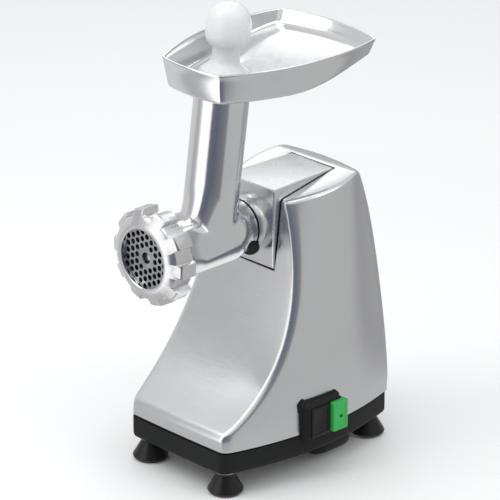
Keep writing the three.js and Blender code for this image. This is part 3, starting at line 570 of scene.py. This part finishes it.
def build_plate():
    hole_points = []
    for i in range(-5, 6):
        for j in range(-5, 6):
            u, v = HOLE_PITCH * (i + j / 2), HOLE_PITCH * j * math.sqrt(3) / 2
            x, z = (u * math.cos(HOLE_TURN) - v * math.sin(HOLE_TURN),
                    u * math.sin(HOLE_TURN) + v * math.cos(HOLE_TURN))
            if HOLE_PITCH * 1.2 < math.hypot(x, z) < HOLE_FIELD_R:
                hole_points.append((x, z))
    y0 = MOUTH_Y - 0.1
    plate = turned("perforated_plate", [(PLATE_PIN_R, y0), (PLATE_R - 0.5, y0), (PLATE_R, y0 + 0.5),
                                        (PLATE_R, y0 + PLATE_T),
                                        (PLATE_PIN_R, y0 + PLATE_T)], along_y, 96)
    bm = bmesh.new()
    for x, z in hole_points:
        result = bmesh.ops.create_cone(bm, cap_ends=True, segments=20, radius1=HOLE_R * MM,
                                       radius2=HOLE_R * MM,
                                       depth=20 * MM)
        move = Matrix.Translation(at(x, y0 + PLATE_T / 2, AXIS_Z + z)) @ Matrix.Rotation(math.pi / 2, 4,
                                                                                         "X")
        bmesh.ops.transform(bm, matrix=move, verts=result["verts"])
    mesh = bpy.data.meshes.new("drills")
    bm.to_mesh(mesh)
    bm.free()
    drills = bpy.data.objects.new("drills", mesh)
    scene.collection.objects.link(drills)
    c, s = math.cos(PLATE_KEY_TURN), math.sin(PLATE_KEY_TURN)
    key = prism("key", [(-2.2, -PLATE_R + 3.6), (2.2, -PLATE_R + 3.6), (2.2, -PLATE_R - 5),
                        (-2.2, -PLATE_R - 5)],
                lambda u, v, d: (u * c + v * s, d, AXIS_Z + v * c - u * s),
                y0 - 5, y0 + 15)
    combine(plate, [drills, key], "DIFFERENCE")
    finish_piece(plate, "head", STEEL, ["cutting_plate"], 30)


def build_auger():
    rings = []
    for i in range(121):
        s = i / 120
        y, core = FLIGHT_Y0 + (FLIGHT_Y1 - FLIGHT_Y0) * s, 12 - 2.5 * s
        end = min(1, s * 12, (1 - s) * 12)
        ring = []
        for k in range(96):
            t = k / 96 * TAU
            wave = max(0, (math.cos(t - TAU * y / FLIGHT_PITCH) + 1) / 2)
            r = core + (AUGER_R - core) * wave ** 4 * end
            ring.append((r * math.cos(t), y, AXIS_Z + r * math.sin(t)))
        rings.append(ring)
    screw = skin("feed_screw", rings, cap="ngon")
    shank = turned("shank", [(0, -160), (12, -160), (9.5, -142.5), (7.4, -139), (7.4, -88), (6, -87),
                             (0, -87)], along_y, 48)
    drive = turned("drive", [(0, -90), (6.8, -90), (6.8, -71.5), (5.8, -70.5), (0, -70.5)], along_y, 6)
    pin = turned("pin", [(0, -245.6), (2.4, -245.5), (3.1, -245), (3.3, -242.6), (4.9, -241.4),
                         (4.9, -239.6), (0, -239.6)],
                 along_y, 40)
    square = box("square", -4.1, 4.1, -239.8, -226, AXIS_Z - 4.1, AXIS_Z + 4.1)
    combine(screw, [shank, drive, square, pin], "UNION")
    finish_piece(screw, "feed_screw", STEEL, ["auger"], 35)


def build_nut():
    """Coned ring with ten flat-topped grip lobes."""
    body = turned("lobed_nut", [(28, -252.2), (28.6, NUT_FRONT), (31.6, NUT_FRONT), (32.4, -252.6),
                                (39.2, -248.6), (40.4, -247),
                                (NUT_ROOT_R, -245.6), (NUT_ROOT_R, -228.6), (40.0, NUT_REAR - 0.2),
                                (39.4, NUT_REAR), (37.4, NUT_REAR), (36.8, NUT_REAR - 0.6),
                                (36.8, -248.1), (28, -248.1)], along_y, 120)
    blocks = []
    for i in range(NUT_LOBES):
        a = NUT_LOBE_TURN + i / NUT_LOBES * TAU
        c, s = math.cos(a), math.sin(a)
        outline = [(34.5, -NUT_LOBE_HALF), (NUT_R, -NUT_LOBE_HALF), (NUT_R, NUT_LOBE_HALF),
                   (34.5, NUT_LOBE_HALF)]
        blocks.append([[(r * c - w * s, y, AXIS_Z + r * s + w * c) for r, w in outline]
                       for y in (NUT_FRONT, -228.4)])
    grip = skin("grip", blocks[0], cap="ngon")
    combine(grip, [skin("lobe", b, cap="ngon") for b in blocks[1:]], "UNION")
    front = turned("front", [(33, -251.6), (44.4, -246.6), (46.5, -243.6), (46.5, -228), (37.5, -228),
                             (37.5, -240),
                             (33, -240)], along_y, 120)
    combine(grip, [front], "INTERSECT")
    combine(body, [grip], "UNION")
    bevel(body, 0.4, 2, 38)
    finish_piece(body, "nut", SATIN, ["ring_nut"], 30)


def build_lock():
    y0, y1 = NECK_END + GAP, COLLAR_Y - GAP
    ring = turned("gasket_ring", [(21.2, y0), (LOCK_R - 0.4, y0), (LOCK_R, y0 + 0.4), (LOCK_R, y1 - 0.3),
                                  (LOCK_R - 0.3, y1),
                                  (21.2, y1)], along_y)
    outline = [(22.6, -26), (26.5, -27.5), (29.7, -33.5), (30.4, -45), (29.8, -61), (28.4, -72),
               (27.2, -78.5),
               (26, -75), (24.2, -62), (22.8, -48), (22.6, -36)]
    closed = smooth_profile(outline + [outline[0]], 3)[:-1]
    curve = [(r * math.cos(math.radians(a)), r * math.sin(math.radians(a))) for r, a in closed]
    tab = prism("tab", curve, lambda u, v, d: (u, d, AXIS_Z + v), y0, y1)
    bevel(tab, 0.4, 3, 50)
    combine(ring, [tab], "UNION")
    finish_piece(ring, "lock", BLACK, ["lock_ring"], 40)


# ---- hopper tray and pusher ----------------------------------------------------------------------
TRAY = {"front": -191.5, "front_bow": 5.5, "front_half": 38.5, "rear": -17.0, "rear_bow": 10.0,
        "rear_half": 61.5,
        "side_bow": 18.5}


def tray_outline(inset=0.0, per=20, corner=3.0):
    """Four bowed sides with tight corners, as (x, y), counter-clockwise from the front left."""
    t = TRAY
    f, r = t["front"] + inset, t["rear"] - inset
    fh, rh = t["front_half"] - inset * 0.8, t["rear_half"] - inset
    knots = [(-fh, f), (fh, f), (rh, r), (-rh, r)]
    bows = [t["front_bow"], t["side_bow"], t["rear_bow"], t["side_bow"]]
    sides = []
    for i in range(4):
        (x0, y0), (x1, y1) = knots[i], knots[(i + 1) % 4]
        dx, dy = x1 - x0, y1 - y0
        length = math.hypot(dx, dy)
        trim = corner / length
        side = []
        for k in range(per + 1):
            s = trim + (1 - 2 * trim) * (1 - math.cos(k / per * math.pi)) / 2
            push = bows[i] * 4 * s * (1 - s)
            side.append((x0 + dx * s + dy / length * push, y0 + dy * s - dx / length * push))
        sides.append(side)
    out = []
    for i in range(4):
        out += sides[i]
        a, b, c = sides[i][-1], knots[(i + 1) % 4], sides[(i + 1) % 4][0]
        for k in (1, 2, 3):
            s = k / 4
            out.append(tuple(p * (1 - s) ** 2 + q * 2 * s * (1 - s) + w * s * s for p, q,
                             w in zip(a, b, c)))
    return out


def tray_floor(y):
    """Height of the pan's floor: deep over the tube, shallow at the rear."""
    s = min(1, max(0, (y + 125) / 110))
    return TRAY_Z - TRAY_DEPTH + TRAY_RISE * s * s * (3 - 2 * s)


def tube_centre(z):
    return TUBE_Y + (z - AXIS_Z) * math.tan(TUBE_LEAN)


def build_tray():
    centre = tube_centre(TRAY_Z)
    rim = tray_outline()
    polar = [(math.hypot(x, y - centre), x, y - centre) for x, y in rim]

    def pan(inset, rise, pull=0.0, throat=24.0):
        """Ring inset from the rim, at a height above the floor there, pulled part way to the tube."""
        ring = []
        for r, dx, dy in polar:
            q = throat + (r - inset - throat) * (1 - pull)
            x, y = dx / r * q, centre + dy / r * q
            ring.append((x, y, tray_floor(y) + rise))
        return ring

    def inner(inset, rise, pull=0.0):
        """The inner floor climbs with the tube's leaning mouth at the front."""
        return [(x, y, z + max(0, -150 - y) * math.tan(TUBE_LEAN)) for x, y, z in pan(inset, rise, pull)]

    def under(inset, rise, pull=0.0):
        return pan(inset, rise, pull, TUBE_R + 2.6)

    def rim_ring(inset, z):
        return [(dx / r * (r - inset), centre + dy / r * (r - inset), z) for r, dx, dy in polar]

    def mouth(radius, h):
        return [up_tube(dx / r * radius, dy / r * radius, h) for r, dx, dy in polar]

    def between(a, b, s, sag=0.0):
        return [tuple(p * (1 - s) + q * s - (sag if i == 2 else 0) for i, (p, q) in enumerate(zip(u, v)))
                for u, v in zip(a, b)]
    wall_in, wall_out = inner(8.0, 3.2), under(5.0, 0.9)
    inner_top, outer_top = rim_ring(3.4, TRAY_Z - 1.6), rim_ring(0.5, TRAY_Z - 2.4)
    rings = [outer_top, rim_ring(0, TRAY_Z - 1.6), rim_ring(0, TRAY_Z - 0.8), rim_ring(0.5, TRAY_Z - 0.15),
             rim_ring(1.3, TRAY_Z), rim_ring(2.2, TRAY_Z - 0.15), rim_ring(3.0, TRAY_Z - 0.8), inner_top]
    rings += [between(inner_top, wall_in, s) for s in (0.3, 0.65)]
    rings += [wall_in, inner(8.9, 1.3), inner(11, 0.3), inner(14, 0.0), inner(14, 0.0, 0.3),
              inner(14, -0.2, 0.62),
              inner(14, -0.6, 0.84),
              mouth(24.6, TUBE_LEN + 3.2), mouth(22.0, TUBE_LEN + 1.4), mouth(20.2, TUBE_LEN - 1),
              mouth(19.6, TUBE_LEN - 4),
              mouth(19.6, TUBE_LEN - 18), mouth(21.3, TUBE_LEN - 18), mouth(21.3, TUBE_LEN + 0.3),
              mouth(TUBE_R + 0.4, TUBE_LEN + 0.3), mouth(TUBE_R + 1.2, TUBE_LEN + 0.9)]
    rings += [under(10, -3.4, 0.84), under(10, -2.8, 0.62), under(10, -2.5, 0.3), under(9, -2.4),
              under(7, -1.9),
              under(5.7, -0.8), wall_out]
    rings += [between(wall_out, outer_top, s) for s in (0.35, 0.7)]
    tray = skin("hopper_pan", rings, loop=True)
    finish_piece(tray, "tray", POLISHED, ["hopper_tray"], 40)


def build_pusher():
    knob = smooth_profile([(18.9, 71), (18.9, 148.5), (19.6, 150.6), (22.2, 152.4), (23.0, 155),
                           (21.6, 158.4), (17.6, 161.6),
                           (14.2, 165), (12.8, 169), (12.5, 173), (12.8, 176.6), (14.0, 179.4), (16.8, 182),
                           (19.2, 185),
                           (20.6, 189.4), (20.9, 195), (20.5, 201), (19.4, 207), (17.2, 212.4),
                           (13.4, 216.8), (8.2, 219.8),
                           (3, 220.9)], 5)
    pusher = turned("plunger_body", [(0, 68), (16.9, 68), (18.3, 68.9), *knob, (0, 221)], up_tube, 96)
    finish_piece(pusher, "plunger", WHITE, ["pusher"], 40)


# ---- hidden pieces keep their CAD mesh -----------------------------------------------------------
def dress_internals():
    looks = {STEEL: ["cross_knife", "output_shaft", "output_gear", "idler_axle", "motor_pinion",
                     "motor_shaft",
                     "gear_plate", "motor_bracket"] + [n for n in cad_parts
                                                       if n.startswith("foot_screw")],
             CAST: ["front_end_bell", "rear_end_bell", "capacitor"], LAMINATION: ["stator"],
             COPPER: ["rotor"],
             BRONZE: ["output_bearing", "rear_bush"], NYLON: ["idler_gear"], BLACK: ["cooling_fan"]}
    for mat, names in looks.items():
        for name in names:
            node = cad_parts[name]
            node.data.materials.clear()
            node.data.materials.append(mat)


# ---- stage, light and camera ---------------------------------------------------------------------
FLOOR = 6


def build_stage():
    mat, shader = material("floor_paint", (0.95, 0.95, 0.95), 0, 0.7)
    mat.node_tree.links.new(ramp(mat, noise(mat, 3, 2), 0.3, 0.7, 0.65, 0.8), shader.inputs["Roughness"])
    mesh = bpy.data.meshes.new("floor")
    mesh.from_pydata([(-FLOOR, -FLOOR, 0), (FLOOR, -FLOOR, 0), (FLOOR, FLOOR, 0), (-FLOOR, FLOOR, 0)], [],
                     [(0, 1, 2, 3)])
    floor = bpy.data.objects.new("floor", mesh)
    scene.collection.objects.link(floor)
    mesh.materials.append(mat)


LIGHT_AIM = (0, 0, 0.22)


def area_light(name, azimuth, elevation, distance, width, height, power):
    """Soft panel that looks at the middle of the object, placed by azimuth from the front and elevation."""
    data = bpy.data.lights.new(name, "AREA")
    data.shape = "RECTANGLE"
    data.size, data.size_y, data.energy = width, height, power
    light = bpy.data.objects.new(name, data)
    a, e = math.radians(azimuth), math.radians(elevation)
    aim = Vector(LIGHT_AIM)
    way = Vector((math.cos(e) * math.sin(a), -math.cos(e) * math.cos(a), math.sin(e)))
    light.location = aim + distance * way
    light.rotation_euler = (aim - light.location).to_track_quat("-Z", "Y").to_euler()
    scene.collection.objects.link(light)


# reflected surroundings: azimuth in degrees from the front, and the brightness and colour met there
SURROUND = ((-180, (0.42, 0.42, 0.43)), (-140, (0.46, 0.46, 0.47)), (-122, (0.68, 0.68, 0.69)),
            (-64, (0.70, 0.70, 0.71)),
            (-54, (0.50, 0.50, 0.51)), (-40, (0.52, 0.52, 0.53)), (-34, (0.70, 0.70, 0.71)),
            (-26, (1.35, 1.35, 1.35)), (8, (1.35, 1.35, 1.35)), (13, (0.17, 0.18, 0.22)),
            (34, (0.13, 0.145, 0.20)),
            (56, (0.19, 0.20, 0.23)), (72, (0.24, 0.245, 0.26)), (80, (0.52, 0.52, 0.525)),
            (146, (0.53, 0.53, 0.53)),
            (156, (0.36, 0.36, 0.37)), (180, (0.42, 0.42, 0.43)))


CARD_R, CARD_TOP, NEAR_GREY, NEAR_R, FAR_R = 0.80, 0.75, (0.56, 0.56, 0.57), 0.24, 0.40


def surround_material():
    """Light given off by azimuth about the object, and plain grey on the floor close to it."""
    mat = bpy.data.materials.new("surround")
    mat.use_nodes = True
    nodes, links = mat.node_tree.nodes, mat.node_tree.links
    nodes.clear()
    coord, split, angle, flip, span, blend, glow, out = (nodes.new(t) for t in (
        "ShaderNodeTexCoord", "ShaderNodeSeparateXYZ", "ShaderNodeMath", "ShaderNodeMath",
                                                                                "ShaderNodeMapRange",
        "ShaderNodeValToRGB", "ShaderNodeEmission", "ShaderNodeOutputMaterial"))
    flip.operation, angle.operation = "MULTIPLY", "ARCTAN2"
    flip.inputs[1].default_value = -1
    span.inputs["From Min"].default_value, span.inputs["From Max"].default_value = -math.pi, math.pi
    marks = blend.color_ramp.elements
    for i, (azimuth, color) in enumerate(SURROUND):
        mark = marks[i] if i < 2 else marks.new(1)
        mark.position = (azimuth + 180) / 360
        mark.color = (*color, 1)
    links.new(coord.outputs["Object"], split.inputs[0])
    links.new(split.outputs["Y"], flip.inputs[0])
    links.new(split.outputs["X"], angle.inputs[0])
    links.new(flip.outputs[0], angle.inputs[1])
    links.new(angle.outputs[0], span.inputs["Value"])
    links.new(span.outputs["Result"], blend.inputs["Fac"])
    reach, near = nodes.new("ShaderNodeVectorMath"), nodes.new("ShaderNodeMapRange")
    veil = nodes.new("ShaderNodeMix")
    reach.operation = "LENGTH"
    near.inputs["From Min"].default_value, near.inputs["From Max"].default_value = NEAR_R, FAR_R
    veil.data_type = "RGBA"
    veil.inputs["A"].default_value = (*NEAR_GREY, 1)
    links.new(coord.outputs["Object"], reach.inputs[0])
    links.new(reach.outputs["Value"], near.inputs["Value"])
    links.new(near.outputs["Result"], veil.inputs["Factor"])
    links.new(blend.outputs["Color"], veil.inputs["B"])
    links.new(veil.outputs["Result"], glow.inputs["Color"])
    links.new(glow.outputs[0], out.inputs["Surface"])
    return mat


def build_surround():
    """Studio cards about the object, which only mirror-like surfaces see."""
    n, profile = 96, ((0.10, 0.0008), (CARD_R, 0.0008), (CARD_R, CARD_TOP))

    def dip(azimuth):
        """The wall is lower behind the tray, whose floor sees the light above the wall there."""
        return 1 - 0.2 * math.exp(-((azimuth - 228) / 26) ** 4)

    points = [(r * math.sin(i / n * TAU), -r * math.cos(i / n * TAU),
               z * (dip(i / n * 360) if z > 0.1 else 1))
              for r, z in profile for i in range(n)]
    faces = [(k * n + i, k * n + (i + 1) % n, (k + 1) * n + (i + 1) % n, (k + 1) * n + i)
             for k in (0, 1) for i in range(n)]
    mesh = bpy.data.meshes.new("surround")
    mesh.from_pydata(points, [], faces)
    mesh.materials.append(surround_material())
    cards = bpy.data.objects.new("surround", mesh)
    cards.visible_camera = cards.visible_diffuse = cards.visible_shadow = cards.visible_transmission = False
    scene.collection.objects.link(cards)


def build_light():
    scene.view_settings.view_transform = "Standard"
    world = bpy.data.worlds.new("studio")
    scene.world = world
    world.use_nodes = True
    background = world.node_tree.nodes["Background"]
    background.inputs["Color"].default_value = (0.98, 0.99, 1.0, 1)
    background.inputs["Strength"].default_value = 0.76
    area_light("key", -30, 48, 1.6, 0.9, 0.9, 6)
    area_light("side", 112, 38, 1.6, 0.8, 1.0, 2.5)
    area_light("top", 20, 86, 1.4, 1.0, 1.0, 4.5)
    area_light("back", 226, 30, 1.5, 0.9, 0.34, 0.92)


CAMERA_AZIMUTH, CAMERA_ELEVATION, CAMERA_DISTANCE, CAMERA_LENS = 46.17, 22.28, 3.5886, 278.94
AIM_Y, AIM_Z = -117.85, 202.54


def build_camera():
    data = bpy.data.cameras.new("camera")
    data.lens, data.sensor_width = CAMERA_LENS, 36
    camera = bpy.data.objects.new("camera", data)
    a, e = math.radians(CAMERA_AZIMUTH), math.radians(CAMERA_ELEVATION)
    aim = at(0, AIM_Y, AIM_Z)
    way = Vector((math.cos(e) * math.sin(a), -math.cos(e) * math.cos(a), math.sin(e)))
    camera.location = aim + CAMERA_DISTANCE * way
    camera.rotation_euler = (aim - camera.location).to_track_quat("-Z", "Y").to_euler()
    data.clip_end = 50
    scene.collection.objects.link(camera)
    scene.camera = camera


build_camera()
build_light()
build_stage()
build_surround()
build_casing()
build_block()
build_base()
build_feet()
build_terminal_box()
build_switch()
build_head()
build_plate()
build_auger()
build_nut()
build_lock()
build_tray()
build_pusher()
dress_internals()
